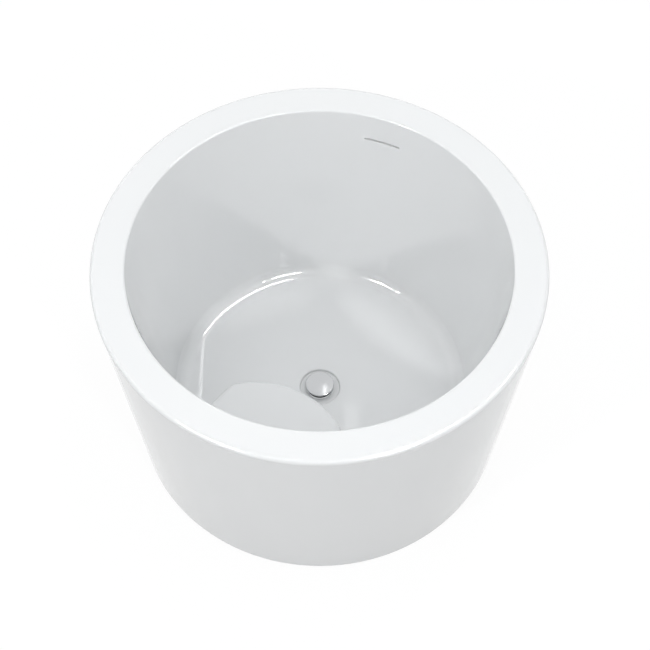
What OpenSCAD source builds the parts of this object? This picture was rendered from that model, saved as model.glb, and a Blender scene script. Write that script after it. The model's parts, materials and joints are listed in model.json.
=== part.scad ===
// Round free-standing bathtub with a moulded seat, a click-clack waste and a slot overflow.
// Millimetres, +Z up. The origin is on the floor at the tub's axis.
// The overflow lies towards +Y and the seat towards -Y.

/* [Tub] */
// Outside diameter of the rim
tub_d = 1050; // [1000:5:1200]
// Height from the floor to the top of the rim
tub_h = 648; // [620:2:700]
// Outside diameter of the skirt at its bottom edge
base_d = 933; // [920:1:960]
// Gap between the skirt's bottom edge and the floor
skirt_gap = 4; // [3:1:6]
// Width of the flat rim
rim_w = 80; // [70:1:90]
// Radius of the rim's outer edge
rim_edge_r = 9; // [8:1:12]
// Radius where the rim turns down into the bath
rim_inner_r = 5; // [3:1:6]
// Height of the rim's turned-down lip
lip_h = 20; // [16:1:30]
// Thickness of the reinforced acrylic basin
shell_t = 6; // [5:0.5:8]
// Thickness of the skirt
skirt_t = 5; // [4:0.5:7]
// Width of the skirt's turned-in bottom flange
flange_w = 25; // [22:1:32]
// Lean of the basin wall from the vertical, in degrees
wall_draft = 8; // [7:0.5:9]
// Radius between the basin wall and its floor
floor_fillet_r = 36; // [30:1:45]

/* [Seat] */
// Height of the seat above the basin floor
seat_rise = 205; // [180:5:240]
// Distance from the tub's axis to the middle of the seat's front edge
seat_front = 139; // [130:1:160]
// Radius of the seat's curved front edge
seat_arc_r = 230; // [220:5:260]
// Half of the seat's width where its front corners turn
seat_half_w = 152; // [145:1:165]
// Plan radius of the seat's front corners
seat_corner_r = 34; // [28:1:45]
// Spread of the seat's sides towards the wall, in degrees
seat_flare = 16; // [10:1:20]
// Turn of the seat about the tub's axis, in degrees
seat_turn = -4.5; // [-6:0.5:6]
// Radius along the seat's top edge
seat_edge_r = 13; // [10:1:16]
// Radius between the seat's front and the basin floor
seat_foot_r = 24; // [18:1:30]
// Lean of the seat's front and sides, in degrees
seat_draft = 4; // [3:0.5:6]

/* [Waste] */
// Diameter of the recess round the waste
recess_d = 101; // [96:1:110]
// Depth of that recess
recess_depth = 5; // [4:0.5:6]
// Diameter of the waste hole in the basin
waste_hole_d = 48; // [47:1:52]
// Diameter of the plug's cap
cap_d = 73; // [66:1:76]
// Diameter of the waste flange
waste_flange_d = 70; // [64:1:72]
// Thickness of the waste flange
waste_flange_t = 2.5; // [2:0.5:3.5]
// Outside diameter of the waste flange's threaded tube
waste_tube_d = 45; // [43:0.5:46]
// Travel of the plug between open and closed
plug_travel = 10; // [8:1:11]
// Diameter of the plug's stem
stem_d = 8; // [7:0.5:9]
// Outside diameter of the outlet pipe
outlet_d = 40; // [38:1:42]
// Gap between the end of the outlet pipe and the floor
outlet_gap = 5; // [4:1:10]

/* [Overflow] */
// Width of the overflow slot
slot_w = 92; // [80:1:100]
// Height of the overflow slot
slot_h = 6; // [5.5:0.5:8]
// Distance from the rim down to the middle of the slot
slot_drop = 75; // [70:1:95]
// Depth of the overflow box behind the wall
box_depth = 26; // [24:1:32]
// Inside diameter of the overflow hose
hose_bore = 22; // [20:1:24]
// Wall thickness of the overflow hose
hose_wall = 2.8; // [2:0.1:3]
// Radius of the hose's bend under the bath, at its middle
hose_bend_r = 60; // [50:1:75]

/* [Support] */
// Clear height under the frame's rails
foot_h = 41; // [38:1:50]
// Side of the square rails
rail_s = 25; // [25:1:30]
// Wall thickness of the rails
rail_t = 2; // [1.5:0.5:3]
// Clearance between the rails' ends and the skirt's bottom flange
rail_end_gap = 32.6; // [30:0.2:40]
// Distance between the middles of the rails
rail_gauge = 420; // [410:5:430]
// Distance from a rail's end to the middle of its foot
foot_inset = 45; // [40:1:50]
// Thickness of the base board
board_t = 12; // [9:1:18]
// Diameter of the base board
board_d = 630; // [600:5:640]
// Diameter of a foot's pad
pad_d = 50; // [45:1:60]
// Diameter of a foot's stud
stud_d = 12; // [10:1:12]
// Thickness of the fixing brackets
bracket_t = 3; // [2.5:0.5:4]

/* [Hidden] */
$fn = 96;

// Colours of the materials
acrylic = [0.93, 0.94, 0.95];
board_wood = [0.80, 0.69, 0.50];
frame_grey = [0.42, 0.44, 0.46];
zinc = [0.72, 0.73, 0.74];
chrome = [0.80, 0.81, 0.82];
black_rubber = [0.10, 0.10, 0.11];
pipe_white = [0.88, 0.88, 0.86];
hose_grey = [0.62, 0.63, 0.64];

// Clearances: round parts in their holes, and a cut that runs past a face
fit_gap = 0.1;
slide_gap = 0.15;
past = 1;

// Outlines of the tub in section
rim_r = tub_d / 2;
basin_r = rim_r - rim_w;
lip_z = tub_h - lip_h;
floor_z = foot_h + rail_s + board_t + shell_t;
skirt_lean = atan((rim_r - base_d / 2) / (tub_h - skirt_gap));
function skirt_r(z) = base_d / 2 + (z - skirt_gap) * tan(skirt_lean);
function wall_r(z) = basin_r - (tub_h - z) * tan(wall_draft);
function wall_out_r(z) = wall_r(z) + shell_t / cos(wall_draft);
wall_up = [sin(wall_draft), cos(wall_draft)];
flange_z = skirt_gap + skirt_t;
flange_in_r = base_d / 2 - skirt_t - flange_w;

// Seat in plan, in its own frame with +Y towards the tub's axis
seat_z = floor_z + seat_rise;
seat_centre = [0, -(seat_front + seat_arc_r)];
corner_x = seat_half_w - seat_corner_r;
corner_y = seat_centre[1] + sqrt(pow(seat_arc_r - seat_corner_r, 2) - corner_x * corner_x);
corner_turn = atan2(corner_y - seat_centre[1], corner_x);
seat_side_l = rim_r - seat_front;
corner_steps = 5;
front_steps = 10;
edge_steps = 5;
// Depth to which the seat's fillet runs into the floor
root = 0.05;

// Stack of the waste along the tub's axis
gasket_t = 3;
thin_gasket_t = 1;
recess_z = floor_z - recess_depth;
boss_z = recess_z - shell_t;
boss_r = recess_d / 2 + 8;
flange_top_z = recess_z + thin_gasket_t + waste_flange_t;
nut_h = 9;
nut_top_z = boss_z - gasket_t;
nut_bottom_z = nut_top_z - nut_h;
tube_wall = 3;
tube_bore_r = waste_tube_d / 2 - tube_wall;
body_wall = 4;
body_r = waste_tube_d / 2 + body_wall + 1;
body_top_z = nut_bottom_z - 1;
tube_grip = 12;
tube_bottom_z = body_top_z - tube_grip;
outlet_l = 19;
body_bottom_z = outlet_gap + outlet_l;
outlet_wall = 2.5;
outlet_bore_r = outlet_d / 2 - outlet_wall;

// Plug: cap over seal, stem into the cartridge
seal_t = 2.5;
cap_t = 4.5;
seal_z = flange_top_z + plug_travel + 0.3;
cap_z = seal_z + seal_t;
cartridge_r = 10;
cartridge_top_z = recess_z - 4;
cartridge_bottom_z = tube_bottom_z - 6;
cartridge_wall = 2;
cartridge_bore_r = cartridge_r - cartridge_wall;
collar_h = 3;
collar_top_z = cartridge_top_z - cartridge_wall - slide_gap;
collar_r = cartridge_bore_r - 0.3;
spring_low_z = cartridge_bottom_z + cartridge_wall;
spring_top_z = collar_top_z - collar_h;
spring_wire_r = 0.6;
spring_r = collar_r - spring_wire_r - 0.4;
spring_turns = 6;
bridge_z = tube_bottom_z + 2;
bridge_h = 6;
bridge_t = 3;

// Overflow behind the wall, in the plane through the tub's axis and +Y
slot_z = tub_h - slot_drop;
box_seal_t = 3;
box_wall = 3;
box_h = 54;
box_w = 130;
box_half_turn = box_w / 2 / wall_out_r(slot_z) * 180 / PI;
box_lip = 7;
hose_r = hose_bore / 2 + hose_wall;
hose_off = box_seal_t + box_depth / 2;
spigot_wall = 2.2;
hose_grip = 20;
hose_end_gap = 3;
spigot_l = box_lip + hose_end_gap + hose_grip;
inlet_rise = 12;
hose_z = body_bottom_z + inlet_rise;
hose_turn = 90 - wall_draft;
function hose_y(z) = wall_r(z) + (shell_t + hose_off) / cos(wall_draft);
bend_reach = hose_bend_r * tan(hose_turn / 2);
bend_y = hose_y(hose_z) - bend_reach;
waste_spigot_l = 28;
waste_spigot_y = body_r + waste_spigot_l;
hose_end_y = waste_spigot_y - hose_grip;
hose_top_s = box_h / 2 + spigot_l - hose_grip;
clamp_w = 9;
clamp_t = 1;

// Support frame and feet
rail_x = rail_gauge / 2;
rail_z = foot_h;
rail_top_z = rail_z + rail_s;
rail_half = sqrt(pow(flange_in_r - rail_end_gap, 2) - rail_x * rail_x);
foot_y = rail_half - foot_inset;
rear_strap_inset = 95;
strap_y = [-80, 120, rail_half - rear_strap_inset];
strap_w = 40;
strap_t = 5;
stand_x = 105;
stand_inset = 55;
stand_y = stand_inset - rail_half;
seat_board_z = seat_z - shell_t - board_t;
screw_d = 4.5;
screw_skin = 2;
screw_y = [-150, 0, 150];
nut_across = 19;
lock_nut_h = 7;
pad_h = 12;
stud_seat_z = 5;
stud_top_z = rail_top_z + 12;
bracket_w = 30;
bracket_bolt_y = rail_half - 12;
bracket_riser_y = rail_half + 24;
bolt_edge = 7;
bracket_run_y = sqrt(pow(flange_in_r + bolt_edge, 2) - rail_x * rail_x);
bracket_end_y = bracket_run_y + bolt_edge + 1;
bolt_d = 6;

// Corner of a 2-D outline at p, between the directions a and b, outside a circle that touches both sides.
// It reaches a little behind p, so it either clears the corner or roots in it.
module corner_piece(p, a, b, r) {
    half = acos(a * b) / 2;
    middle = (a + b) / norm(a + b);
    centre = p + middle * r / sin(half);
    difference() {
        polygon([p - past * middle, p + a * r / tan(half), centre, p + b * r / tan(half)]);
        translate(centre) circle(r);
    }
}

// Section of the space inside the basin, grown outwards by g
module cavity_2d(g = 0) {
    low = floor_z - g;
    corner = [wall_r(low) + g / cos(wall_draft), low];
    difference() {
        polygon([[0, low], corner, [wall_r(tub_h + past) + g / cos(wall_draft), tub_h + past], [0, tub_h + past]]);
        corner_piece(corner, [-1, 0], wall_up, floor_fillet_r + g);
    }
}

// Section of the basin's wall, floor and rolled rim
module basin_section_2d() {
    lip_low = lip_z - past;
    difference() {
        union() {
            intersection() {
                cavity_2d(shell_t);
                square([rim_r, tub_h]);
            }
            polygon([[wall_r(lip_z), lip_z], [basin_r, tub_h], [rim_r, tub_h], [skirt_r(lip_z), lip_z]]);
        }
        cavity_2d();
        polygon([
            [wall_out_r(lip_low), lip_low],
            [wall_out_r(tub_h - shell_t), tub_h - shell_t],
            [skirt_r(tub_h - shell_t) - shell_t, tub_h - shell_t],
            [skirt_r(lip_low) - shell_t, lip_low]
        ]);
        corner_piece([rim_r, tub_h], [-1, 0], [-sin(skirt_lean), -cos(skirt_lean)], rim_edge_r);
        corner_piece([basin_r, tub_h], [1, 0], -wall_up, rim_inner_r);
    }
}

// Point at an angle on a circle
function on_circle(centre, r, angle) = centre + r * [cos(angle), sin(angle)];

// Outline of the seat in plan, grown outwards by g: right side, right corner, front arc and their mirror image
function seat_half(g) = [
    on_circle([corner_x, corner_y], seat_corner_r + g, seat_flare) + seat_side_l * [sin(seat_flare), -cos(seat_flare)],
    for (i = [0 : corner_steps])
        on_circle([corner_x, corner_y], seat_corner_r + g, seat_flare + (corner_turn - seat_flare) * i / corner_steps),
    for (i = [1 : front_steps])
        on_circle(seat_centre, seat_arc_r + g, corner_turn + (90 - corner_turn) * i / front_steps)
];
function seat_outline(g) = let (half = seat_half(g), n = len(half)) [
    each half, for (i = [n - 2 : -1 : 0]) [-half[i][0], half[i][1]]
];

// Edge of the seat from the foot up, as [growth, height]: fillet onto the floor, leaning face, rounded edge
function seat_edge(inset, base, top, edge_r, foot_r, sink) = let (
    foot_mid = [(top - base - foot_r) * tan(seat_draft) + foot_r / cos(seat_draft) - inset, base + foot_r],
    edge_mid = [edge_r * tan(seat_draft) - edge_r / cos(seat_draft) - inset, top - edge_r]
) [
    [foot_mid[0], base - sink],
    for (i = [0 : edge_steps]) on_circle(foot_mid, foot_r, 270 - (90 - seat_draft) * i / edge_steps),
    for (i = [0 : edge_steps]) on_circle(edge_mid, edge_r, seat_draft + (90 - seat_draft) * i / edge_steps)
];

// The seat as one drafted block, lofted through its outline at each step of its edge
module seat_form(inset, base, top, edge_r, foot_r, sink) {
    edge = seat_edge(inset, base, top, edge_r, foot_r, sink);
    rings = [for (step = edge) [for (p = seat_outline(step[0])) [p[0], p[1], step[1]]]];
    n = len(rings[0]);
    last = (len(edge) - 1) * n;
    walls = [for (row = [0 : len(edge) - 2], k = [0 : n - 1])
        let (a = row * n + k, b = row * n + (k + 1) % n)
        each [[a, b + n, b], [a, a + n, b + n]]];
    ends = [[for (k = [0 : n - 1]) k], [for (k = [0 : n - 1]) last + n - 1 - k]];
    polyhedron([for (ring = rings) each ring], concat(walls, ends), convexity = 4);
}

// Seat volume inside the basin
module seat_block() {
    intersection() {
        rotate(seat_turn) seat_form(0, floor_z - root, seat_z, seat_edge_r, seat_foot_r, shell_t / 3);
        rotate_extrude() cavity_2d(shell_t / 2);
    }
}

// Hollow under the seat, one shell thickness inside it
module seat_hollow() {
    inset = shell_t / cos(seat_draft) - shell_t * tan(seat_draft);
    rotate(seat_turn)
        seat_form(inset, floor_z - shell_t + root, seat_z - shell_t, seat_edge_r - shell_t, seat_foot_r + shell_t, past);
}

module stadium(w, h) {
    square([w - h, h], center = true);
    for (side = [-1, 1]) translate([side * (w - h) / 2, 0]) circle(d = h);
}

// Inner bath: floor, wall and rim in one sheet, with the seat formed in it
module basin_shell() {
    recess_edge_r = 4;
    color(acrylic) difference() {
        union() {
            rotate_extrude() basin_section_2d();
            seat_block();
            translate([0, 0, boss_z]) cylinder(r = boss_r, h = recess_depth + shell_t / 2);
        }
        seat_hollow();
        rotate_extrude() difference() {
            polygon([
                [0, recess_z], [recess_d / 2, recess_z], [recess_d / 2, floor_z],
                [recess_d / 2 + recess_edge_r, floor_z], [recess_d / 2 + recess_edge_r, floor_z + past],
                [0, floor_z + past]
            ]);
            translate([recess_d / 2 + recess_edge_r, floor_z - recess_edge_r]) circle(recess_edge_r);
        }
        translate([0, 0, boss_z - past]) cylinder(d = waste_hole_d, h = shell_t + 2 * past);
        translate([0, wall_r(slot_z) - 3 * shell_t, slot_z]) rotate([-90, 0, 0])
            linear_extrude(6 * shell_t) stadium(slot_w, slot_h);
    }
}

// Outer shell: a plain cone from under the rim's lip to a turned-in flange above the floor
module outer_skirt() {
    color(acrylic) difference() {
        rotate_extrude() polygon([
            [skirt_r(skirt_gap), skirt_gap], [skirt_r(lip_z), lip_z], [skirt_r(lip_z) - skirt_t, lip_z],
            [skirt_r(flange_z) - skirt_t, flange_z], [flange_in_r, flange_z], [flange_in_r, skirt_gap]
        ]);
        at_brackets() translate([0, bracket_run_y, skirt_gap - past])
            cylinder(d = bolt_d + 2 * fit_gap, h = skirt_t + 2 * past);
    }
}

// Four places in mirror image about both upright planes
module at_brackets() {
    for (sx = [0, 1], sy = [0, 1]) mirror([sx, 0, 0]) mirror([0, sy, 0]) translate([rail_x, 0, 0]) children();
}

// Outline of the seat in plan with its front corners clipped, grown outwards by g
module seat_plan_2d(g = 0) {
    arc_r = seat_arc_r + g;
    shoulder = [corner_x, corner_y] + (seat_corner_r + g) * [cos(seat_flare), sin(seat_flare)];
    back = shoulder + seat_side_l * [sin(seat_flare), -cos(seat_flare)];
    clip = seat_centre + arc_r * [cos(corner_turn), sin(corner_turn)];
    intersection() {
        translate(seat_centre) circle(arc_r);
        polygon([seat_centre + [0, arc_r / sin(corner_turn)], clip, shoulder, back,
            [-back[0], back[1]], [-shoulder[0], shoulder[1]], [-clip[0], clip[1]]]);
    }
}

// Round board bonded under the basin floor, cut back in front of the seat
module base_board() {
    color(board_wood) translate([0, 0, rail_top_z]) difference() {
        cylinder(d = board_d, h = board_t);
        translate([0, 0, -past]) linear_extrude(board_t + 2 * past) rotate(seat_turn)
            seat_plan_2d(seat_rise * tan(seat_draft) + seat_foot_r + 2);
        translate([0, 0, -past]) cylinder(r = boss_r + 6, h = board_t + 2 * past);
        at_screws() translate([0, 0, -past]) cylinder(d = screw_d + 2 * fit_gap, h = board_t - screw_skin + past);
    }
}

// Board bonded under the seat
module seat_board() {
    color(board_wood) translate([0, 0, seat_board_z]) linear_extrude(board_t) intersection() {
        rotate(seat_turn) seat_plan_2d(-shell_t - seat_edge_r);
        circle(wall_r(seat_z) - shell_t);
    }
}

// Welded stand that carries the seat board on the frame's front cross tube
module seat_stand() {
    plate_t = 4;
    post_top = seat_board_z - rail_s;
    color(frame_grey) translate([0, stand_y, 0]) {
        for (side = [-1, 1]) translate([side * stand_x, 0, 0]) {
            translate([0, 0, rail_top_z + plate_t / 2]) cube([2 * rail_s, 1.6 * rail_s, plate_t], center = true);
            difference() {
                translate([0, 0, (rail_top_z + plate_t + post_top) / 2])
                    cube([rail_s, rail_s, post_top - rail_top_z - plate_t], center = true);
                translate([0, 0, (rail_top_z + plate_t + post_top) / 2])
                    cube([rail_s - 2 * rail_t, rail_s - 2 * rail_t, post_top - rail_top_z], center = true);
            }
        }
        translate([0, 0, post_top + rail_s / 2]) difference() {
            cube([2 * stand_x + 2.4 * rail_s, rail_s, rail_s], center = true);
            cube([2 * stand_x + 3 * rail_s, rail_s - 2 * rail_t, rail_s - 2 * rail_t], center = true);
        }
    }
}

// Places of the wood screws along both rails
module at_screws() {
    for (side = [-1, 1], y = screw_y) translate([side * rail_x, y, 0]) children();
}

// Two square rails, a front cross tube and flat straps, welded
module support_frame() {
    rail_in = rail_s - 2 * rail_t;
    access_d = 11;
    inner_w = rail_gauge - rail_s;
    color(frame_grey) difference() {
        union() {
            for (side = [-1, 1]) translate([side * rail_x, 0, rail_z + rail_s / 2])
                difference() {
                    cube([rail_s, 2 * rail_half, rail_s], center = true);
                    cube([rail_in, 2 * rail_half + 2 * past, rail_in], center = true);
                }
            translate([0, stand_y, rail_z + rail_s / 2]) difference() {
                cube([inner_w, rail_s, rail_s], center = true);
                cube([inner_w - rail_s, rail_in, rail_in], center = true);
            }
            for (y = strap_y) translate([0, y, rail_top_z - strap_t / 2])
                cube([inner_w, strap_w, strap_t], center = true);
        }
        at_brackets() {
            translate([0, foot_y, rail_z - past]) cylinder(d = stud_d + 4 * fit_gap, h = rail_s + 2 * past);
            translate([0, bracket_bolt_y, rail_z - past]) cylinder(d = bolt_d + 2 * fit_gap, h = 2 * rail_t);
        }
        at_screws() {
            translate([0, 0, rail_z - past]) cylinder(d = access_d, h = rail_s / 2);
            translate([0, 0, rail_z]) cylinder(d = screw_d + 2 * fit_gap, h = rail_s + past);
        }
    }
}

// Pan-head screws up through the rails' top walls into the base board
module frame_screws() {
    head_z = rail_top_z - rail_t;
    head_h = 3;
    head_r = screw_d;
    point_h = 2.5;
    point_z = rail_top_z + board_t - screw_skin - 0.5;
    color(zinc) at_screws() rotate_extrude() polygon([
        [0, head_z - head_h], [0.7 * head_r, head_z - head_h], [head_r, head_z - head_h / 2], [head_r, head_z],
        [screw_d / 2, head_z], [screw_d / 2, point_z - point_h], [0, point_z]
    ]);
}

// Cranked straps from the rails' ends down to the skirt's flange
module skirt_brackets() {
    riser_y = bracket_riser_y;
    start_y = bracket_bolt_y - bracket_w / 2;
    color(zinc) at_brackets() difference() {
        rotate([90, 0, 90]) translate([0, 0, -bracket_w / 2]) linear_extrude(bracket_w) polygon([
            [start_y, rail_z], [riser_y + bracket_t, rail_z], [riser_y + bracket_t, flange_z + bracket_t],
            [bracket_end_y, flange_z + bracket_t], [bracket_end_y, flange_z], [riser_y, flange_z],
            [riser_y, rail_z - bracket_t], [start_y, rail_z - bracket_t]
        ]);
        translate([0, bracket_bolt_y, rail_z - 2 * bracket_t]) cylinder(d = bolt_d + 2 * fit_gap, h = 3 * bracket_t);
        translate([0, bracket_run_y, flange_z - bracket_t]) cylinder(d = bolt_d + 2 * fit_gap, h = 3 * bracket_t);
    }
}

// Hexagon prism of a given width across its flats
module hex(across, h) {
    cylinder(d = across / cos(30), h = h, $fn = 6);
}

// Hexagon bolts that hold the brackets to the rails and to the skirt's flange
module bracket_screws() {
    head_h = 4;
    head_w = 10;
    color(zinc) at_brackets() {
        translate([0, bracket_bolt_y, rail_z - bracket_t]) {
            translate([0, 0, -head_h]) hex(head_w, head_h);
            cylinder(d = bolt_d, h = bracket_t + 4 * rail_t);
        }
        translate([0, bracket_run_y, flange_z + bracket_t]) {
            hex(head_w, head_h);
            translate([0, 0, -bracket_t - skirt_t]) cylinder(d = bolt_d, h = bracket_t + skirt_t);
        }
    }
}

// Thin hexagon nuts that lock the feet under the rails
module lock_nuts() {
    color(zinc) at_brackets() translate([0, foot_y, rail_z - lock_nut_h]) difference() {
        hex(nut_across, lock_nut_h);
        translate([0, 0, -past]) cylinder(d = stud_d + 2 * fit_gap, h = lock_nut_h + 2 * past);
    }
}

// Feet are numbered from the front left one round to the rear left one, seen from above
foot_places = [[-rail_x, -foot_y], [rail_x, -foot_y], [rail_x, foot_y], [-rail_x, foot_y]];

// Moulded foot pad with a socket for the stud's end
module foot_pad(n) {
    socket_r = stud_d / 2 + fit_gap;
    rib_r = stud_d / 2 + 6;
    color(black_rubber) translate(foot_places[n - 1]) rotate_extrude() polygon([
        [0, 0], [pad_d / 2 - 1.5, 0], [pad_d / 2, 1.5], [pad_d / 2, 4], [rib_r, pad_h - 3], [rib_r, pad_h],
        [socket_r, pad_h], [socket_r, stud_seat_z], [0, stud_seat_z]
    ]);
}

// Threaded stud with a hexagon to turn it by
module foot_stud(n) {
    hex_h = 6;
    color(zinc) translate(foot_places[n - 1]) {
        translate([0, 0, stud_seat_z]) cylinder(d = stud_d, h = stud_top_z - stud_seat_z);
        translate([0, 0, pad_h + slide_gap]) hex(stud_d + 5, hex_h);
    }
}

module foot_pad_1() { foot_pad(1); }
module foot_pad_2() { foot_pad(2); }
module foot_pad_3() { foot_pad(3); }
module foot_pad_4() { foot_pad(4); }
module foot_stud_1() { foot_stud(1); }
module foot_stud_2() { foot_stud(2); }
module foot_stud_3() { foot_stud(3); }
module foot_stud_4() { foot_stud(4); }

// Flat ring about the tub's axis
module ring(r_in, r_out, z, h) {
    translate([0, 0, z]) difference() {
        cylinder(r = r_out, h = h);
        translate([0, 0, -past]) cylinder(r = r_in, h = h + 2 * past);
    }
}

// Waste flange with its threaded tube and the three-armed bridge that carries the cartridge
module waste_flange() {
    edge = 1;
    low = flange_top_z - waste_flange_t;
    lead = 2;
    hub_r = cartridge_r + fit_gap;
    color(chrome) {
        rotate_extrude() polygon([
            [tube_bore_r, tube_bottom_z], [waste_tube_d / 2, tube_bottom_z], [waste_tube_d / 2, low],
            [waste_flange_d / 2, low], [waste_flange_d / 2, flange_top_z - edge],
            [waste_flange_d / 2 - 2 * edge, flange_top_z], [tube_bore_r + lead, flange_top_z],
            [tube_bore_r, flange_top_z - lead]
        ]);
        ring(hub_r, hub_r + bridge_t, bridge_z, bridge_h);
        for (turn = [90, 210, 330]) rotate(turn) translate([hub_r + bridge_t / 2, -bridge_t / 2, bridge_z])
            cube([tube_bore_r - hub_r, bridge_t, bridge_h]);
    }
}

module upper_gasket() {
    color(black_rubber) ring(waste_hole_d / 2, waste_flange_d / 2 - 1, recess_z, thin_gasket_t);
}

module lower_gasket() {
    color(black_rubber) ring(waste_tube_d / 2 + fit_gap, waste_flange_d / 2, nut_top_z, gasket_t);
}

// Back nut that clamps the basin between the two gaskets
module waste_lock_nut() {
    grip_n = 8;
    nut_r = waste_flange_d / 2;
    color(pipe_white) difference() {
        translate([0, 0, nut_bottom_z]) cylinder(r = nut_r, h = nut_h);
        translate([0, 0, nut_bottom_z - past]) cylinder(d = waste_tube_d + 2 * fit_gap, h = nut_h + 2 * past);
        for (i = [0 : grip_n - 1]) rotate(i * 360 / grip_n) translate([nut_r + 2, 0, nut_bottom_z - past])
            cylinder(r = 5, h = nut_h - 2);
    }
}

// Waste body: socket on the tube, chamber, side inlet for the overflow and straight outlet
module waste_body() {
    socket_r = waste_tube_d / 2 + fit_gap;
    chamber_r = outlet_d / 2;
    chamber_z = body_bottom_z + body_wall;
    inlet_r = hose_bore / 2 - fit_gap;
    color(pipe_white) difference() {
        union() {
            rotate_extrude() polygon([
                [0, outlet_gap], [outlet_d / 2, outlet_gap], [outlet_d / 2, body_bottom_z], [body_r, body_bottom_z + 6],
                [body_r, body_top_z], [0, body_top_z]
            ]);
            translate([0, 0, hose_z]) rotate([-90, 0, 0]) cylinder(r = inlet_r, h = waste_spigot_y);
        }
        rotate_extrude() polygon([
            [0, outlet_gap - past], [outlet_bore_r, outlet_gap - past], [outlet_bore_r, chamber_z],
            [chamber_r, chamber_z + 3], [chamber_r, tube_bottom_z], [socket_r, tube_bottom_z],
            [socket_r, body_top_z + past], [0, body_top_z + past]
        ]);
        translate([0, 0, hose_z]) rotate([-90, 0, 0]) cylinder(r = inlet_r - spigot_wall, h = waste_spigot_y + past);
    }
}

// Cartridge that guides the plug's stem and holds its spring
module click_cartridge() {
    color(chrome) rotate_extrude() polygon([
        [0, cartridge_bottom_z], [cartridge_r, cartridge_bottom_z], [cartridge_r, cartridge_top_z],
        [stem_d / 2 + slide_gap, cartridge_top_z], [stem_d / 2 + slide_gap, cartridge_top_z - cartridge_wall],
        [cartridge_bore_r, cartridge_top_z - cartridge_wall], [cartridge_bore_r, spring_low_z], [0, spring_low_z]
    ]);
}

// Plug cap with its stem and the collar that the cartridge holds captive
module plug_cap() {
    crown = 0.8;
    edge_r = 1.6;
    crown_r = (pow(cap_d / 2, 2) + crown * crown) / (2 * crown);
    color(chrome) rotate_extrude() {
        difference() {
            intersection() {
                translate([0, cap_z]) square([cap_d / 2, cap_t + crown]);
                translate([0, cap_z + cap_t + crown - crown_r]) circle(crown_r, $fn = 360);
            }
            corner_piece([cap_d / 2, cap_z + cap_t], [-1, 0], [0, -1], edge_r);
            translate([cap_d / 2 - edge_r, cap_z + cap_t - 0.001]) square([edge_r + past, crown + past]);
        }
        translate([0, collar_top_z - collar_h]) square([stem_d / 2, cap_z - collar_top_z + collar_h]);
        translate([0, collar_top_z - collar_h]) square([collar_r, collar_h]);
    }
}

module plug_seal() {
    color(black_rubber) ring(stem_d / 2 + fit_gap, waste_flange_d / 2 - 6, seal_z, seal_t);
}

// Return spring under the stem's collar, one tube wound on a helix
module plug_spring() {
    sides = 6;
    per_turn = 8;
    steps = spring_turns * per_turn;
    low = spring_low_z + spring_wire_r;
    rise = spring_top_z - spring_wire_r - low;
    points = [for (i = [0 : steps], k = [0 : sides - 1])
        let (turn = 360 * i / per_turn, around = 360 * k / sides, r = spring_r + spring_wire_r * cos(around))
        [r * cos(turn), r * sin(turn), low + rise * i / steps + spring_wire_r * sin(around)]];
    walls = [for (i = [0 : steps - 1], k = [0 : sides - 1])
        let (a = i * sides + k, b = i * sides + (k + 1) % sides)
        each [[a, b, b + sides], [a, b + sides, a + sides]]];
    caps = [[for (k = [0 : sides - 1]) sides - 1 - k], [for (k = [0 : sides - 1]) steps * sides + k]];
    color(zinc) polyhedron(points, concat(walls, caps), convexity = 6);
}

// Point s up along the wall and n out from its back, in the plane through the axis and the slot's middle
function behind_wall(s, n) = [
    wall_out_r(slot_z) + n * cos(wall_draft) + s * sin(wall_draft),
    slot_z - n * sin(wall_draft) + s * cos(wall_draft)
];

// Part of a ring behind the wall, half_turn either side of +Y
module wall_sector(half_turn, s, n) {
    rotate(90 - half_turn) rotate_extrude(angle = 2 * half_turn) polygon([
        behind_wall(-s, n[0]), behind_wall(s, n[0]), behind_wall(s, n[1]), behind_wall(-s, n[1])
    ]);
}

// Cylinder that runs down along the wall from s = from to s = to, on the hose's line
module down_wall(r, from, to) {
    start = behind_wall(from, hose_off);
    translate([0, start[0], start[1]]) rotate([180 - wall_draft, 0, 0]) cylinder(r = r, h = from - to);
}

// Box behind the slot, open to the wall, with a spigot at its bottom
module overflow_box() {
    side_turn = box_wall / wall_out_r(slot_z) * 180 / PI;
    lip_turn = box_lip / wall_out_r(slot_z) * 180 / PI;
    back = box_seal_t + box_depth;
    spigot_r = hose_bore / 2 - fit_gap;
    color(pipe_white) difference() {
        union() {
            wall_sector(box_half_turn, box_h / 2, [box_seal_t, back]);
            wall_sector(box_half_turn + lip_turn, box_h / 2 + box_lip, [box_seal_t, box_seal_t + box_wall]);
            down_wall(spigot_r, -box_h / 2 + past, -box_h / 2 - spigot_l);
        }
        wall_sector(box_half_turn - side_turn, box_h / 2 - box_wall, [box_seal_t - past, back - box_wall]);
        down_wall(spigot_r - spigot_wall, -box_h / 2 + 2 * box_wall, -box_h / 2 - spigot_l - past);
    }
}

// Flat frame of foam between the box and the back of the wall
module overflow_seal() {
    side_turn = box_wall / wall_out_r(slot_z) * 180 / PI;
    lip_turn = box_lip / wall_out_r(slot_z) * 180 / PI;
    color(black_rubber) difference() {
        wall_sector(box_half_turn + lip_turn, box_h / 2 + box_lip, [fit_gap, box_seal_t]);
        wall_sector(box_half_turn - side_turn, box_h / 2 - box_wall, [-past, box_seal_t + past]);
    }
}

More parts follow.
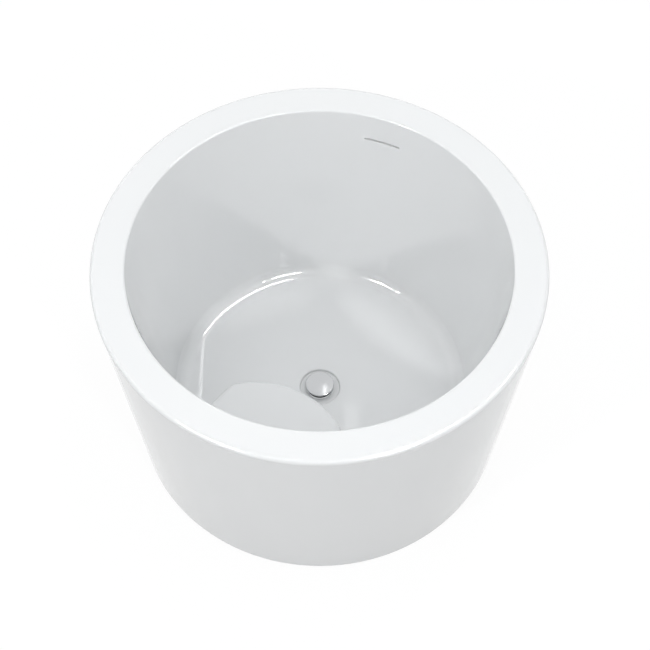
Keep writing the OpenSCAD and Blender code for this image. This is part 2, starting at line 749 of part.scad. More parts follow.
// Hose along its whole line, one tube swept down behind the wall, round the bend and in to the waste
module overflow_hose() {
    sides = 24;
    bend_steps = 12;
    bend_mid = [bend_y, hose_z + hose_bend_r];
    top = behind_wall(-hose_top_s, hose_off);
    // Each stop on the line: its place in the Y-Z plane and how far the hose has turned there
    stops = [
        [top, 0],
        for (i = [0 : bend_steps]) let (turn = hose_turn * i / bend_steps, lean = wall_draft + turn)
            [bend_mid + hose_bend_r * [cos(lean), -sin(lean)], turn],
        [[hose_end_y, hose_z], hose_turn]
    ];
    function ring_points(r, stop) = [for (k = [0 : sides - 1])
        let (around = 360 * k / sides, lean = wall_draft + stop[1], side = r * cos(around))
        [r * sin(around), stop[0][0] + side * cos(lean), stop[0][1] - side * sin(lean)]];
    n = len(stops);
    points = [
        for (stop = stops) each ring_points(hose_r, stop),
        for (stop = stops) each ring_points(hose_bore / 2 / cos(180 / sides), stop)
    ];
    inner = n * sides;
    function wall_faces(first, flip) = [for (i = [0 : n - 2], k = [0 : sides - 1])
        let (a = first + i * sides + k, b = first + i * sides + (k + 1) % sides)
        each (flip ? [[a, b + sides, b], [a, a + sides, b + sides]] : [[a, b, b + sides], [a, b + sides, a + sides]])];
    function end_faces(row, flip) = [for (k = [0 : sides - 1])
        let (a = row * sides + k, b = row * sides + (k + 1) % sides)
        each (flip ? [[a, b, b + inner], [a, b + inner, a + inner]] : [[a, b + inner, b], [a, a + inner, b + inner]])];
    color(hose_grey) polyhedron(points, concat(
        wall_faces(0, false), wall_faces(inner, true), end_faces(0, false), end_faces(n - 1, true)), convexity = 6);
}

// Worm-drive clamp about the Z axis
module hose_clamp() {
    ring_r = hose_r + fit_gap;
    worm_r = 3.5;
    worm_l = 15;
    color(zinc) {
        difference() {
            union() {
                cylinder(r = ring_r + clamp_t, h = clamp_w, center = true);
                translate([ring_r + worm_r - 1, 0, 0]) cube([2 * worm_r, worm_l - 4, clamp_w], center = true);
            }
            cylinder(r = ring_r, h = clamp_w + 2 * past, center = true);
        }
        translate([ring_r + worm_r, -worm_l / 2, 0]) rotate([-90, 0, 0]) cylinder(r = worm_r - 0.5, h = worm_l);
    }
}

module hose_clamp_top() {
    place = behind_wall(-hose_top_s - hose_grip / 2, hose_off);
    translate([0, place[0], place[1]]) rotate([180 - wall_draft, 0, 0]) hose_clamp();
}

module hose_clamp_bottom() {
    translate([0, hose_end_y + hose_grip / 2, hose_z]) rotate([90, 0, 0]) hose_clamp();
}

basin_shell();
outer_skirt();
base_board();
seat_board();
seat_stand();
support_frame();
frame_screws();
skirt_brackets();
bracket_screws();
lock_nuts();
foot_pad_1();
foot_pad_2();
foot_pad_3();
foot_pad_4();
foot_stud_1();
foot_stud_2();
foot_stud_3();
foot_stud_4();
waste_flange();
upper_gasket();
lower_gasket();
waste_lock_nut();
waste_body();
click_cartridge();
plug_cap();
plug_seal();
plug_spring();
overflow_box();
overflow_seal();
overflow_hose();
hose_clamp_top();
hose_clamp_bottom();
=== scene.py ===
import json
import math

import bpy
import numpy as np
from mathutils import Matrix, Vector


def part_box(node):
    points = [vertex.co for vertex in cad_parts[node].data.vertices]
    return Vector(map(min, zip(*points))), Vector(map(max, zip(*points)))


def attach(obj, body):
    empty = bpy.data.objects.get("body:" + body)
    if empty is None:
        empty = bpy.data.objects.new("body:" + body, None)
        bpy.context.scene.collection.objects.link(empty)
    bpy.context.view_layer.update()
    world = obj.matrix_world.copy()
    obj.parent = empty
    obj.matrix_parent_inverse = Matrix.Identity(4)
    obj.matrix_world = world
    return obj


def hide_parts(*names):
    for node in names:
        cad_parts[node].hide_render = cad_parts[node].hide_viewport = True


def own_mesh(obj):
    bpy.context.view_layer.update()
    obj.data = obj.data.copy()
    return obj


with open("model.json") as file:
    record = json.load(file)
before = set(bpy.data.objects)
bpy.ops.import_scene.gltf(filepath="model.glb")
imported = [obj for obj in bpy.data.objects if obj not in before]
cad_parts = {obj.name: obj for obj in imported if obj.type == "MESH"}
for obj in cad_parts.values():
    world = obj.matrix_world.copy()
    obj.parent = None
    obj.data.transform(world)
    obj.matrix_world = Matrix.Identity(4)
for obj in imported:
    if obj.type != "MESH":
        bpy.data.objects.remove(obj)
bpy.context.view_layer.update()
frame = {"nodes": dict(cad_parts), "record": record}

# Sizes of the tub, in metres and radians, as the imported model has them
TUB_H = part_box("basin_shell")[1].z
RIM_R = 0.525
RIM_W = 0.080
RIM_EDGE_R = 0.009
RIM_INNER_R = 0.005
LIP_H = 0.020
LIP_EDGE_R = 0.001
SHELL_T = 0.006
FLOOR_Z = 0.084
WALL_DRAFT = math.radians(8)
FLOOR_FILLET_R = 0.036
BASE_R = 0.4665
SKIRT_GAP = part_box("outer_skirt")[0].z
BASIN_R = RIM_R - RIM_W
LIP_Z = TUB_H - LIP_H

SEAT_RISE = 0.205
SEAT_Z = FLOOR_Z + SEAT_RISE
SEAT_FRONT = 0.139
SEAT_ARC_R = 0.230
SEAT_HALF_W = 0.152
SEAT_CORNER_R = 0.034
SEAT_FLARE = math.radians(16)
SEAT_TURN = math.radians(-4.5)
SEAT_EDGE_R = 0.013
SEAT_BLEND_R = 0.024
SEAT_DRAFT = math.radians(4)

RECESS_R = 0.0505
RECESS_DEPTH = 0.005
RECESS_EDGE_R = 0.004
RECESS_FOOT_R = 0.0008
RECESS_Z = FLOOR_Z - RECESS_DEPTH
WASTE_HOLE_R = 0.024
BOSS_MARGIN = 0.008
BOSS_R = RECESS_R + BOSS_MARGIN
SLOT_W = 0.092
SLOT_H = 0.006
SLOT_DROP = 0.075
SLOT_Z = TUB_H - SLOT_DROP
SLOT_EDGE_R = 0.001

# Directions in the basin's section, as (radius, height): up along the wall, and where its face looks
WALL_UP = np.array([math.sin(WALL_DRAFT), math.cos(WALL_DRAFT)])
WALL_FACE = np.array([-WALL_UP[1], WALL_UP[0]])

# Mesh of the basin: steps round it, the net over its floor and seat, and the grain at which points join
TURNS = 432
STEP_ANGLES = (np.arange(TURNS) + 0.5) * 2 * math.pi / TURNS
CELL = 0.004
NET_R = 0.058
NET_EDGE_R = NET_R + CELL / 2
NET_Z = 0.078
NET_RINGS = 88
NET_ROWS = 65
NET_TOP_Z = NET_Z + (NET_ROWS - 0.5) * CELL
NET_PULLS = 4
SLOPE_STEP = 0.00005
ARC_STEPS = 6
WELD_GRAIN = 1e-6

# Window in the wall round the overflow slot: its middle and half width in steps, its rows and half height
SLOT_STEP = TURNS // 4
WINDOW_STEPS = 8
WINDOW_ROWS = 8
WINDOW_H = 0.012
WINDOW_LOW = SLOT_Z - WINDOW_H
WINDOW_TOP = SLOT_Z + WINDOW_H
WINDOW_HEIGHTS = np.linspace(WINDOW_LOW, WINDOW_TOP, WINDOW_ROWS + 1)
WINDOW_SKIP = range(SLOT_STEP - WINDOW_STEPS - 1, SLOT_STEP + WINDOW_STEPS)

# The photograph's camera: metres and radians, with the lens and the sensor in millimetres
CAMERA_AZIMUTH = math.radians(20.5)
CAMERA_ELEVATION = math.radians(57.0)
CAMERA_ROLL = math.radians(0.1435)
CAMERA_DISTANCE = 3.8027
CAMERA_AIM_Z = 0.3759
CAMERA_AIM_SIDE = 0.01286
CAMERA_LENS = 86.787
CAMERA_SENSOR = 36

# A Mix node's colour sockets share their names with its number sockets, so they are told by place
MIX_A = 6
MIX_B = 7
MIX_COLOUR = 2

# Middle range of a texture's values, and the angle from which an edge is shaded sharp
TEXTURE_LOW = 0.3
TEXTURE_HIGH = 0.7
SHARP_ANGLE = math.radians(30)

# Light and background: white paper has a brightness of 1, and the sky brightens between two elevations
LAMP_DISTANCE = 6.0
SKY_HIGH = 1.01
SKY_LOW = 0.66
SKY_HIGH_ELEVATION = math.radians(65)
SKY_LOW_ELEVATION = math.radians(30)
SKY_TINT = (0.985, 0.995, 1, 1)
FLOOR_SIZE = 40
FLOOR_PAPER = 0.4
FLOOR_WHITE = 0.80
FLOOR_GLOW = 1.15

# A diffuse depth below this belongs to a ray that has met no matt surface yet
FIRST_BOUNCE = 0.5


def wall_r(z):
    """Radius of the basin's wall at a height."""
    return BASIN_R - (TUB_H - z) * math.tan(WALL_DRAFT)


def wall_out_r(z):
    """Radius of the wall's back at a height."""
    return wall_r(z) + SHELL_T / math.cos(WALL_DRAFT)


def skirt_r(z):
    """Radius of the skirt's face at a height."""
    return BASE_R + (z - SKIRT_GAP) * (RIM_R - BASE_R) / (TUB_H - SKIRT_GAP)


def make_camera():
    """The photograph's view, from high up at the front right."""
    level = math.cos(CAMERA_ELEVATION)
    back = Vector((
        math.sin(CAMERA_AZIMUTH) * level, -math.cos(CAMERA_AZIMUTH) * level, math.sin(CAMERA_ELEVATION)))
    right = Vector((math.cos(CAMERA_AZIMUTH), math.sin(CAMERA_AZIMUTH), 0))
    up = back.cross(right)
    place = right * CAMERA_AIM_SIDE + Vector((0, 0, CAMERA_AIM_Z)) + back * CAMERA_DISTANCE
    data = bpy.data.cameras.new("camera")
    data.lens = CAMERA_LENS
    data.sensor_width = CAMERA_SENSOR
    camera = bpy.data.objects.new("camera", data)
    bpy.context.scene.collection.objects.link(camera)
    turned_right = right * math.cos(CAMERA_ROLL) + up * math.sin(CAMERA_ROLL)
    turned_up = up * math.cos(CAMERA_ROLL) - right * math.sin(CAMERA_ROLL)
    axes = Matrix((turned_right, turned_up, back)).transposed().to_4x4()
    camera.matrix_world = Matrix.Translation(place) @ axes
    bpy.context.scene.camera = camera


# Form of the basin's inside, as a distance that is positive in the air


def cavity_distance(p):
    """Distance inside the plain round basin, with the fillet between its wall and floor."""
    r = np.hypot(p[..., 0], p[..., 1])
    z = p[..., 2]
    wall = (wall_r(z) - r) * WALL_UP[1]
    floor = z - FLOOR_Z
    half_corner = (math.pi / 2 + WALL_DRAFT) / 2
    centre_r = wall_r(FLOOR_Z) - FLOOR_FILLET_R / math.tan(half_corner)
    dr = r - centre_r
    dz = floor - FLOOR_FILLET_R
    in_fillet = (dr > 0) & (dr * WALL_UP[0] + dz * WALL_UP[1] < 0)
    return np.where(in_fillet, FLOOR_FILLET_R - np.hypot(dr, dz), np.minimum(wall, floor))


def seat_distance(p):
    """Distance outside the moulded seat: an arc in front, flared sides, rounded corners, a leaning face."""
    turn_cos = math.cos(SEAT_TURN)
    turn_sin = math.sin(SEAT_TURN)
    x = np.abs(turn_cos * p[..., 0] + turn_sin * p[..., 1])
    y = turn_cos * p[..., 1] - turn_sin * p[..., 0]
    z = p[..., 2]
    arc_y = -(SEAT_FRONT + SEAT_ARC_R)
    inner_r = SEAT_ARC_R - SEAT_CORNER_R
    corner_x = SEAT_HALF_W - SEAT_CORNER_R
    corner_y = arc_y + math.sqrt(inner_r ** 2 - corner_x ** 2)
    corner_turn = math.atan2(corner_y - arc_y, corner_x)
    dx = x - corner_x
    dy = y - corner_y
    front = np.hypot(x, y - arc_y) - inner_r
    side = dx * math.cos(SEAT_FLARE) + dy * math.sin(SEAT_FLARE)
    ahead = dx * math.sin(SEAT_FLARE) - dy * math.cos(SEAT_FLARE) < 0
    at_corner = ahead & (np.arctan2(y - arc_y, x) < corner_turn)
    plan = np.where(at_corner, np.hypot(dx, dy), np.maximum(front, side)) - SEAT_CORNER_R
    face = (plan - (SEAT_Z - z) * math.tan(SEAT_DRAFT)) * math.cos(SEAT_DRAFT)
    top = z - SEAT_Z
    rounded = np.hypot(np.maximum(face + SEAT_EDGE_R, 0), np.maximum(top + SEAT_EDGE_R, 0))
    return np.minimum(np.maximum(face, top), -SEAT_EDGE_R) + rounded


def air_distance(p):
    """Distance inside the basin and outside its seat, with a fillet where the two meet."""
    a = cavity_distance(p)
    b = seat_distance(p)
    near = np.hypot(np.maximum(SEAT_BLEND_R - a, 0), np.maximum(SEAT_BLEND_R - b, 0))
    return np.maximum(np.minimum(a, b), SEAT_BLEND_R) - near


def air_normal(p):
    """Direction into the air at points on the surface, and how fast the distance grows that way."""
    slope = np.stack([
        (air_distance(p + SLOPE_STEP * axis) - air_distance(p - SLOPE_STEP * axis)) / (2 * SLOPE_STEP)
        for axis in np.eye(3)
    ], -1)
    steep = np.linalg.norm(slope, axis=-1, keepdims=True)
    return slope / steep, steep


def turned(r, z, angle):
    """Points at radius r and height z, at an angle round the axis."""
    r, z, angle = np.broadcast_arrays(r, z, angle)
    return np.stack([r * np.cos(angle), r * np.sin(angle), z], -1)


def net_points(grid, value):
    """One point in each cell of the grid that the surface crosses, those cells, and a number for each."""
    shape = (TURNS, NET_RINGS - 1, NET_ROWS)
    total = np.zeros(shape + (3,))
    count = np.zeros(shape)

    def corner(array, i, j, k):
        return np.roll(array, -i, axis=0)[:, j:j + shape[1], k:k + shape[2]]

    for low in [(i, j, k) for i in (0, 1) for j in (0, 1) for k in (0, 1)]:
        for axis in range(3):
            if low[axis]:
                continue
            high = tuple(n + (a == axis) for a, n in enumerate(low))
            at_low = corner(value, *low)
            at_high = corner(value, *high)
            crossed = (at_low > 0) != (at_high > 0)
            share = (at_low[crossed] / (at_low[crossed] - at_high[crossed]))[:, None]
            start = corner(grid, *low)[crossed]
            end = corner(grid, *high)[crossed]
            total[crossed] += start * (1 - share) + end * share
            count += crossed
    used = count > 0
    number = np.full(shape, -1)
    number[used] = np.arange(np.count_nonzero(used))
    return total[used] / count[used][:, None], np.argwhere(used), number


def net_quads(value, number):
    """A face across each step of the grid that the surface crosses, facing the air."""
    inside = value > 0
    before = np.roll(number, 1, axis=0)
    upright = inside[:, 1:-1, :-1], inside[:, 1:-1, 1:], [
        before[:, :-1], number[:, :-1], number[:, 1:], before[:, 1:]]
    outward = inside[:, :-1, 1:-1], inside[:, 1:, 1:-1], [
        before[:, :, :-1], before[:, :, 1:], number[:, :, 1:], number[:, :, :-1]]
    core = inside[:, 1:-1, 1:-1]
    around = core, np.roll(core, -1, axis=0), [
        number[:, :-1, :-1], number[:, 1:, :-1], number[:, 1:, 1:], number[:, :-1, 1:]]
    quads = []
    for low, high, cells in (upright, outward, around):
        crossed = low != high
        square = np.stack([cell[crossed] for cell in cells], -1)
        quads.append(np.where(low[crossed][:, None], square, square[:, ::-1]))
    return np.concatenate(quads)


def floor_net():
    """Net over the floor, the fillet, the seat and the lower wall: points, normals and quads."""
    angles = np.arange(TURNS) * 2 * math.pi / TURNS
    radii = NET_R + CELL * np.arange(NET_RINGS)
    heights = NET_Z + CELL * np.arange(NET_ROWS + 1)
    grid = turned(radii[None, :, None], heights[None, None, :], angles[:, None, None])
    value = air_distance(grid)
    points, cells, number = net_points(grid, value)

    # Each step pulls the points closer to the surface
    for _ in range(NET_PULLS):
        normals, steep = air_normal(points)
        points = points - normals * (air_distance(points)[:, None] / steep)

    # Its two open edges lie on exact rings, where the turned parts join on
    middle = STEP_ANGLES[cells[:, 0]]
    inner = cells[:, 1] == 0
    points[inner] = turned(NET_EDGE_R, FLOOR_Z, middle[inner])
    top = cells[:, 2] == NET_ROWS - 1
    points[top] = turned(wall_r(NET_TOP_Z), NET_TOP_Z, middle[top])
    return points, air_normal(points)[0], net_quads(value, number)


# Turned parts, each a run of points and normals along a section


def section_runs(corners):
    """Runs along a line of (radius, height, rounding); a rounding of 0 is a sharp corner and ends a run."""
    spots = [np.array(c[:2]) for c in corners]
    ways = [(b - a) / np.linalg.norm(b - a) for a, b in zip(spots, spots[1:])]
    left = [np.array([-way[1], way[0]]) for way in ways]
    runs = []
    run = [(spots[0], left[0])]
    for k in range(1, len(spots) - 1):
        rounding = corners[k][2]
        if not rounding:
            run.append((spots[k], left[k - 1]))
            runs.append(run)
            run = [(spots[k], left[k])]
            continue
        way = ways[k - 1]
        bend = math.atan2(left[k - 1] @ ways[k], way @ ways[k])
        start = spots[k] - way * rounding * math.tan(abs(bend) / 2)
        side = math.copysign(rounding, bend)
        centre = start + left[k - 1] * side
        for step in range(ARC_STEPS + 1):
            angle = bend * step / ARC_STEPS
            normal = left[k - 1] * math.cos(angle) - way * math.sin(angle)
            run.append((centre - normal * side, normal))
    run.append((spots[-1], left[-1]))
    runs.append(run)
    return runs


def wall_run(radius, heights, way):
    """Run up or down a wall of the given radius, facing the air with a way of 1 and outwards with -1."""
    return [(np.array([radius(z), z]), way * WALL_FACE) for z in heights]


def turned_part(run, skip=()):
    """A run of (point, normal) turned round the axis, without the faces in skip."""
    points = np.concatenate([turned(p[0], p[1], STEP_ANGLES) for p, _ in run])
    normals = np.concatenate([turned(n[0], n[1], STEP_ANGLES) for _, n in run])
    steps = np.array([i for i in range(TURNS) if i not in skip])
    ahead = (steps + 1) % TURNS
    quads = []
    for k in range(len(run) - 1):
        low = k * TURNS
        high = low + TURNS
        quads.append(np.stack([low + steps, high + steps, high + ahead, low + ahead], -1))
    return points, normals, np.concatenate(quads)


def strip(loops):
    """Quads between closed rows of as many points each; the rows give points and normals."""
    count = len(loops[0][0])
    steps = np.arange(count)
    ahead = (steps + 1) % count
    quads = []
    for k in range(len(loops) - 1):
        low = k * count
        high = low + count
        quads.append(np.stack([low + steps, low + ahead, high + ahead, high + steps], -1))
    points = np.concatenate([p for p, _ in loops])
    normals = np.concatenate([n for _, n in loops])
    return points, normals, np.concatenate(quads)


# The overflow slot, in a window left open in the wall


def window_loop(radius):
    """Points of the window's edge on a wall, from its lower corner at the greatest angle round."""
    angles = STEP_ANGLES[np.arange(SLOT_STEP + WINDOW_STEPS, SLOT_STEP - WINDOW_STEPS - 2, -1)]
    up = WINDOW_HEIGHTS[1:-1]
    down = up[::-1]
    return np.concatenate([
        turned(radius(WINDOW_LOW), WINDOW_LOW, angles), turned(radius(up), up, angles[-1]),
        turned(radius(WINDOW_TOP), WINDOW_TOP, angles[::-1]), turned(radius(down), down, angles[0])])


def slot_loop(grow):
    """The slot's outline grown by grow, seen along Y, and which way is out at each of its points."""
    # It has as many points as window_loop gives, so that a strip can join the two
    count = 2 * WINDOW_STEPS + 2
    radius = SLOT_H / 2
    reach = SLOT_W / 2 - radius
    along = np.linspace(-reach, reach, count)
    turns = np.linspace(-math.pi / 2, math.pi / 2, WINDOW_ROWS + 1)[1:-1]
    sides = np.concatenate([
        np.tile([[0, -1]], (count, 1)), np.stack([np.cos(turns), np.sin(turns)], -1),
        np.tile([[0, 1]], (count, 1)), np.stack([-np.cos(turns), -np.sin(turns)], -1)])
    cores = np.concatenate([along, np.full(len(turns), reach), along[::-1], np.full(len(turns), -reach)])
    outline = np.stack([cores, np.zeros_like(cores)], -1) + sides * (radius + grow)
    return outline, sides


def slot_part():
    """Rim of the window on the face, the slot's rounded edge, its walls, and the rim on the back."""
    def on_wall(outline, radius, deeper=0):
        z = SLOT_Z + outline[:, 1]
        x = outline[:, 0]
        return np.stack([x, np.sqrt(radius(z) ** 2 - x ** 2) + deeper, z], -1)

    def facing(points, way):
        angle = np.arctan2(points[:, 1], points[:, 0])
        return way * turned(WALL_FACE[0], WALL_FACE[1], angle)

    edge = window_loop(wall_r)
    outline, sides = slot_loop(0)
    side_normals = -np.stack([sides[:, 0], np.zeros(len(sides)), sides[:, 1]], -1)
    rows = [(edge, facing(edge, 1))]
    for step in range(ARC_STEPS // 2 + 1):
        angle = math.pi * step / ARC_STEPS
        grown = slot_loop(SLOT_EDGE_R * (1 - math.sin(angle)))[0]
        points = on_wall(grown, wall_r, SLOT_EDGE_R * (1 - math.cos(angle)))
        rows.append((points, facing(points, 1) * math.cos(angle) + side_normals * math.sin(angle)))
    face = strip(rows)
    inner = rows[-1][0]
    outer = on_wall(outline, wall_out_r)
    walls = strip([(inner, side_normals), (outer, side_normals)])
    back_edge = window_loop(wall_out_r)
    back = strip([(outer, facing(outer, -1)), (back_edge, facing(back_edge, -1))])
    return [face, walls, back]


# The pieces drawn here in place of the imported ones


def weld(parts):
    """One closed mesh of the parts: shared points, quads, and a normal for each quad's corner."""
    points = np.concatenate([part[0] for part in parts])
    normals = np.concatenate([part[1] for part in parts])
    first = np.cumsum([0] + [len(part[0]) for part in parts])
    quads = np.concatenate([part[2] + start for part, start in zip(parts, first)])
    cells = np.round(points / WELD_GRAIN).astype(np.int64)
    _, kept, number = np.unique(cells, axis=0, return_index=True, return_inverse=True)
    return points[kept], number.reshape(-1)[quads], normals[quads].reshape(-1, 3)


def make_mesh(name, parts):
    """An object of the welded parts with their own normals."""
    points, quads, normals = weld(parts)
    mesh = bpy.data.meshes.new(name)
    mesh.from_pydata(points.tolist(), [], quads.tolist())
    mesh.shade_smooth()
    mesh.normals_split_custom_set(normals.tolist())
    piece = bpy.data.objects.new(name, mesh)
    bpy.context.scene.collection.objects.link(piece)
    return piece


def make_basin():
    """The inner bath: floor, seat, wall, rolled rim, recess and overflow slot in one sheet."""
    points, normals, quads = floor_net()
    parts = [(points, normals, quads), (points - SHELL_T * normals, -normals, quads[:, ::-1])]
    back_top_z = NET_TOP_Z - SHELL_T * WALL_UP[0]
    under_z = TUB_H - SHELL_T
    rim = section_runs([
        (wall_r(WINDOW_TOP), WINDOW_TOP, 0),
        (BASIN_R, TUB_H, RIM_INNER_R),
        (RIM_R, TUB_H, RIM_EDGE_R),
        (skirt_r(LIP_Z), LIP_Z, LIP_EDGE_R),
        (skirt_r(LIP_Z) - SHELL_T, LIP_Z, 0),
        (skirt_r(under_z) - SHELL_T, under_z, SHELL_T),
        (wall_out_r(under_z), under_z, 0),
        (wall_out_r(WINDOW_TOP), WINDOW_TOP, 0),
    ])
    waste = section_runs([
        (NET_EDGE_R, FLOOR_Z - SHELL_T, 0),
        (BOSS_R, FLOOR_Z - SHELL_T, 0),
        (BOSS_R, RECESS_Z - SHELL_T, 0),
        (WASTE_HOLE_R, RECESS_Z - SHELL_T, 0),
        (WASTE_HOLE_R, RECESS_Z, 0),
        (RECESS_R, RECESS_Z, RECESS_FOOT_R),
        (RECESS_R, FLOOR_Z, RECESS_EDGE_R),
        (NET_EDGE_R, FLOOR_Z, 0),
    ])
    parts += [turned_part(run) for run in rim + waste]
    parts.append(turned_part(wall_run(wall_r, (NET_TOP_Z, WINDOW_LOW), 1)))
    parts.append(turned_part(wall_run(wall_r, WINDOW_HEIGHTS, 1), WINDOW_SKIP))
    parts.append(turned_part(wall_run(wall_out_r, WINDOW_HEIGHTS[::-1], -1), WINDOW_SKIP))
    parts.append(turned_part(wall_run(wall_out_r, (WINDOW_LOW, back_top_z), -1)))
    parts += slot_part()
    basin = make_mesh("basin", parts)
    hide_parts("basin_shell")
    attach(basin, "tub")
    return basin


def make_spring():
    """The plug's return spring, as a piece of its own on the tub."""
    node = frame["nodes"]["plug_spring"]
    spring = bpy.data.objects.new("return_spring", node.data.copy())
    bpy.context.scene.collection.objects.link(spring)
    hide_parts("plug_spring")
    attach(spring, "tub")
    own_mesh(spring)
    return spring


# Materials, one for each of the record's slots


class Surface:
    """A procedural material: a Principled shader fed by textures in the object's own coordinates."""

    def __init__(self, slot, **values):
        self.slot = slot
        self.material = bpy.data.materials.new(slot + " finish")
        self.material.use_nodes = True
        self.tree = self.material.node_tree
        self.shader = self.tree.nodes["Principled BSDF"]
        self.place = self.tree.nodes.new("ShaderNodeTexCoord").outputs["Object"]
        for socket, value in values.items():
            self.shader.inputs[socket.replace("_", " ")].default_value = value

    def node(self, kind, inputs, output=0, **settings):
        """Adds a node, sets or links its inputs, and gives one of its outputs."""
        node = self.tree.nodes.new("ShaderNode" + kind)
        for name, value in settings.items():
            setattr(node, name, value)
        for name, value in inputs.items():
            if isinstance(value, bpy.types.NodeSocket):
                self.tree.links.new(value, node.inputs[name])
            else:
                node.inputs[name].default_value = value
        return node.outputs[output]

    def stretched(self, scale):
        """The place scaled by axis, for grain."""
        return self.node("Mapping", {"Vector": self.place, "Scale": scale})

    def noise(self, scale, detail=3):
        """A cloudy texture of so many patches to the metre."""
        return self.node("TexNoise", {"Vector": self.place, "Scale": scale, "Detail": detail})

    def spread(self, value, low, high):
        """A texture's middle range as a number between low and high."""
        return self.node("MapRange", {
            "Value": value, "From Min": TEXTURE_LOW, "From Max": TEXTURE_HIGH,
            "To Min": low, "To Max": high})

    def colour(self, value, dark, pale):
        """The base colour runs from dark to pale with the value."""
        inputs = {"Factor": self.spread(value, 0, 1), MIX_A: (*dark, 1), MIX_B: (*pale, 1)}
        mixed = self.node("Mix", inputs, MIX_COLOUR, data_type="RGBA")
        self.tree.links.new(mixed, self.shader.inputs["Base Color"])

    def rough(self, value, low, high):
        """The roughness runs from low to high with the value."""
        self.tree.links.new(self.spread(value, low, high), self.shader.inputs["Roughness"])

    def bump(self, value, depth):
        """Raises the surface by up to depth metres."""
        raised = self.node("Bump", {"Height": value, "Strength": 1, "Distance": depth})
        self.tree.links.new(raised, self.shader.inputs["Normal"])


def make_materials():
    """Material for each slot of the record."""
    acrylic = Surface("acrylic", IOR=1.5)
    acrylic.colour(acrylic.noise(3), (0.772, 0.782, 0.789), (0.782, 0.790, 0.795))
    acrylic.rough(acrylic.noise(40), 0.03, 0.045)
    acrylic.bump(acrylic.noise(70, 1), 0.000012)

    board = Surface("board", IOR=1.45)
    chips = board.node("TexVoronoi", {"Vector": board.stretched((1, 0.4, 3)), "Scale": 160}, "Color")
    board.colour(board.noise(300, 4), (0.42, 0.29, 0.16), (0.70, 0.53, 0.33))
    board.rough(board.noise(200), 0.65, 0.85)
    board.bump(chips, 0.0002)

    paint = Surface("frame_paint", IOR=1.5)
    paint.colour(paint.noise(30), (0.46, 0.47, 0.48), (0.52, 0.53, 0.54))
    paint.rough(paint.noise(500), 0.38, 0.5)
    paint.bump(paint.noise(900, 1), 0.00004)

    zinc = Surface("zinc", Metallic=1)
    zinc.colour(zinc.noise(60), (0.52, 0.54, 0.56), (0.66, 0.67, 0.66))
    zinc.rough(zinc.noise(250), 0.24, 0.38)
    zinc.bump(zinc.noise(800), 0.00002)

    pad = Surface("pad", IOR=1.5)
    pad.colour(pad.noise(120), (0.028, 0.028, 0.030), (0.042, 0.042, 0.044))
    pad.rough(pad.noise(400), 0.45, 0.6)
    pad.bump(pad.noise(1500, 1), 0.00003)

    chrome = Surface("chrome", Metallic=1)
    chrome.colour(chrome.noise(12), (0.56, 0.565, 0.575), (0.59, 0.595, 0.605))
    chrome.rough(chrome.noise(150), 0.06, 0.11)
    chrome.bump(chrome.noise(500), 0.000004)

    rubber = Surface("rubber", IOR=1.5)
    rubber.colour(rubber.noise(150), (0.020, 0.020, 0.021), (0.032, 0.032, 0.033))
    rubber.rough(rubber.noise(500), 0.55, 0.7)
    rubber.bump(rubber.noise(2000, 1), 0.00002)

    pipe = Surface("pipe", IOR=1.49)
    pipe.colour(pipe.noise(25), (0.74, 0.75, 0.75), (0.80, 0.80, 0.79))
    pipe.rough(pipe.noise(300), 0.3, 0.42)
    pipe.bump(pipe.noise(900), 0.00002)

    hose = Surface("hose", IOR=1.5)
    ribs = hose.node("TexWave", {"Vector": hose.place, "Scale": 60, "Distortion": 0.4}, bands_direction="Z")
    hose.colour(hose.noise(40), (0.50, 0.51, 0.53), (0.57, 0.58, 0.60))
    hose.rough(hose.noise(300), 0.32, 0.45)
    hose.bump(ribs, 0.0004)
    made = (acrylic, board, paint, zinc, pad, chrome, rubber, pipe, hose)
    return {surface.slot: surface.material for surface in made}


def dress(piece, material):
    """Gives a piece one material in place of its own."""
    piece.data.materials.clear()
    piece.data.materials.append(material)


def smooth(piece):
    """Shades curved faces smooth and leaves sharp edges sharp."""
    piece.data.shade_smooth()
    piece.data.set_sharp_from_angle(angle=SHARP_ANGLE)


# Light and background


def aimed(azimuth, elevation, distance, target):
    """Place and turn of a lamp that looks at the target from an azimuth and elevation in degrees."""
    a = math.radians(azimuth)
    e = math.radians(elevation)
    way = Vector((math.sin(a) * math.cos(e), -math.cos(a) * math.cos(e), math.sin(e)))
    right = Vector((math.cos(a), math.sin(a), 0))
    axes = Matrix((right, way.cross(right), way)).transposed().to_4x4()
    return Matrix.Translation(target + way * distance) @ axes


def soft_light(name, azimuth, elevation, width, height, brightness, mirrored=False):
    """A rectangular lamp so many times as bright as white paper; a mirrored one only shows in gloss."""
    data = bpy.data.lights.new(name, "AREA")
    data.shape = "RECTANGLE"
    data.size = width
    data.size_y = height
    data.energy = brightness * math.pi * width * height
    lamp = bpy.data.objects.new(name, data)
    bpy.context.scene.collection.objects.link(lamp)
    lamp.matrix_world = aimed(azimuth, elevation, LAMP_DISTANCE, Vector((0, 0, TUB_H)))
    if mirrored:
        lamp.visible_diffuse = False
        data.use_nodes = True
        nodes = data.node_tree.nodes
        links = data.node_tree.links
        path = nodes.new("ShaderNodeLightPath")
        first = nodes.new("ShaderNodeMath")
        first.operation = "LESS_THAN"
        first.inputs[1].default_value = FIRST_BOUNCE
        links.new(path.outputs["Diffuse Depth"], first.inputs[0])
        links.new(first.outputs[0], nodes["Emission"].inputs["Strength"])
    return lamp


def seen_directly(nodes, links):
    """Number that is above 0 for camera, glossy and transmission rays."""
    path = nodes.new("ShaderNodeLightPath")
    total = path.outputs["Is Camera Ray"]
    for name in ("Is Glossy Ray", "Is Transmission Ray"):
        add = nodes.new("ShaderNodeMath")
        add.operation = "MAXIMUM"
        links.new(total, add.inputs[0])
        links.new(path.outputs[name], add.inputs[1])
        total = add.outputs[0]
    return total


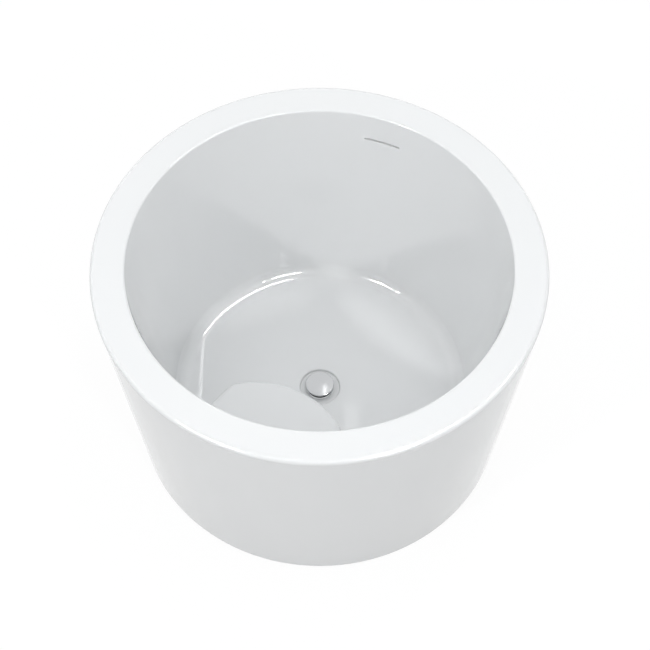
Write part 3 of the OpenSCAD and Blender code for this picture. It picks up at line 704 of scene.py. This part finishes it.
def make_world():
    """A surround that lights the object more from above than from low down, and looks plain white."""
    world = bpy.data.worlds.new("studio")
    bpy.context.scene.world = world
    world.use_nodes = True
    nodes = world.node_tree.nodes
    links = world.node_tree.links
    place = nodes.new("ShaderNodeTexCoord")
    split = nodes.new("ShaderNodeSeparateXYZ")
    links.new(place.outputs["Generated"], split.inputs[0])
    level = nodes.new("ShaderNodeMapRange")
    links.new(split.outputs["Z"], level.inputs["Value"])
    level.inputs["From Min"].default_value = math.sin(SKY_LOW_ELEVATION)
    level.inputs["From Max"].default_value = math.sin(SKY_HIGH_ELEVATION)
    level.inputs["To Min"].default_value = SKY_LOW
    level.inputs["To Max"].default_value = SKY_HIGH
    mixed = nodes.new("ShaderNodeMix")
    links.new(seen_directly(nodes, links), mixed.inputs["Factor"])
    links.new(level.outputs[0], mixed.inputs["A"])
    mixed.inputs["B"].default_value = 1
    links.new(mixed.outputs[0], nodes["Background"].inputs["Strength"])
    nodes["Background"].inputs["Color"].default_value = SKY_TINT


def make_floor():
    """A plain pale floor: white where it is looked at, with the object's shadow faintly on it."""
    mesh = bpy.data.meshes.new("floor")
    half = FLOOR_SIZE / 2
    corners = [(-half, -half, 0), (half, -half, 0), (half, half, 0), (-half, half, 0)]
    mesh.from_pydata(corners, [], [(0, 1, 2, 3)])
    floor = bpy.data.objects.new("floor", mesh)
    bpy.context.scene.collection.objects.link(floor)
    material = bpy.data.materials.new("floor")
    material.use_nodes = True
    nodes = material.node_tree.nodes
    links = material.node_tree.links
    output = nodes["Material Output"]
    nodes.remove(nodes["Principled BSDF"])
    paper = nodes.new("ShaderNodeBsdfDiffuse")
    paper.inputs["Color"].default_value = (FLOOR_PAPER, FLOOR_PAPER, FLOOR_PAPER, 1)
    white = nodes.new("ShaderNodeEmission")
    white.inputs["Strength"].default_value = FLOOR_GLOW
    mixed = nodes.new("ShaderNodeMixShader")
    share = nodes.new("ShaderNodeMath")
    share.operation = "MULTIPLY"
    share.inputs[1].default_value = FLOOR_WHITE
    links.new(seen_directly(nodes, links), share.inputs[0])
    links.new(share.outputs[0], mixed.inputs[0])
    links.new(paper.outputs[0], mixed.inputs[1])
    links.new(white.outputs[0], mixed.inputs[2])
    links.new(mixed.outputs[0], output.inputs["Surface"])
    mesh.materials.append(material)


bpy.context.scene.view_settings.view_transform = "Standard"
make_camera()
materials = make_materials()
basin = make_basin()
dress(basin, materials["acrylic"])
spring = make_spring()
dress(spring, materials["zinc"])
smooth(spring)
for part in frame["record"]["subparts"]:
    node = frame["nodes"][part["node"]]
    dress(node, materials[part["material_slot"]])
    smooth(node)
make_world()
make_floor()
soft_light("left light", azimuth=-25, elevation=38, width=0.35, height=0.25, brightness=265)
soft_light("right light", azimuth=46, elevation=36, width=0.4, height=0.25, brightness=200)
back_light = soft_light("back light", azimuth=160, elevation=72, width=1.2, height=1.2, brightness=10)
back_light.visible_glossy = False
soft_light("left streak", azimuth=-28, elevation=44, width=2.2, height=0.2, brightness=190, mirrored=True)
soft_light("right streak", azimuth=50, elevation=44, width=2.2, height=0.2, brightness=190, mirrored=True)
soft_light("back streak", azimuth=159, elevation=70.5, width=0.2, height=2.4, brightness=130, mirrored=True)
soft_light("cap streak", azimuth=197, elevation=60, width=0.09, height=0.5, brightness=1.9, mirrored=True)
